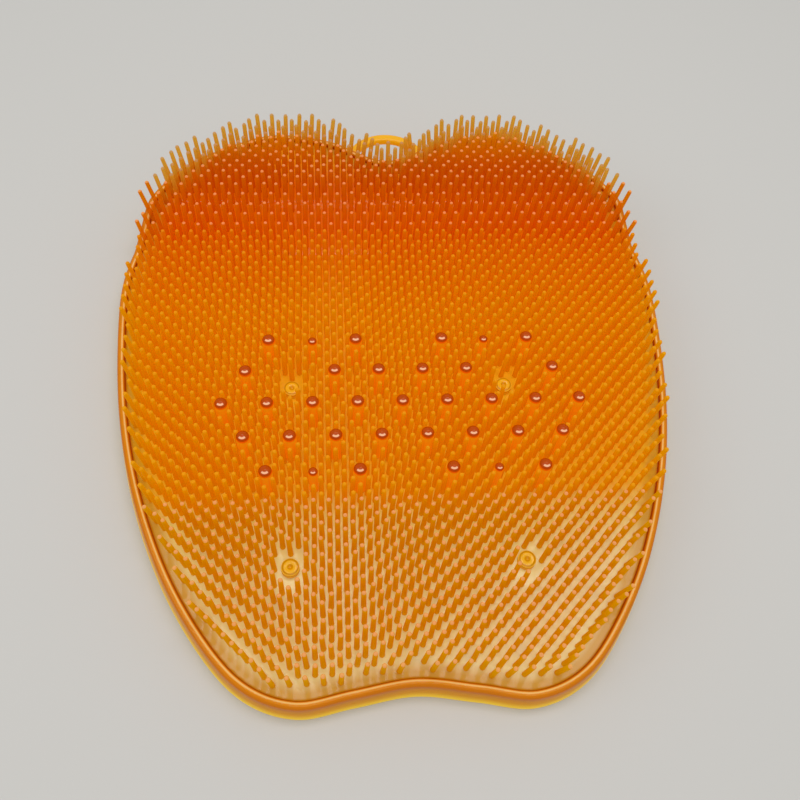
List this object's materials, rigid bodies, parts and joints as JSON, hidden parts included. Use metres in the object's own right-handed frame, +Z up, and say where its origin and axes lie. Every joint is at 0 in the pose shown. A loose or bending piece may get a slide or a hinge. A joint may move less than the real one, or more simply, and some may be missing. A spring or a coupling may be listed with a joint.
{
  "type": "shower foot scrubber",
  "caption": "Foot-shaped shower mat of soft bristles with massage nubs, a raised toe end, a beaded rim, suction cups below and a hanging loop.",
  "frame": {"origin": "under the middle of the mat, on the plane of the suction cups' lips", "axes": "+X to the right across the foot, +Y from the heel end to the raised toe end, +Z up out of the floor"},
  "size_m": [0.2452, 0.267, 0.0426],
  "materials": {
    "soft_moulding": "satin"
  },
  "bodies": {
    "root": {"scrubber_mat": "soft_moulding"}
  },
  "joints": []
}
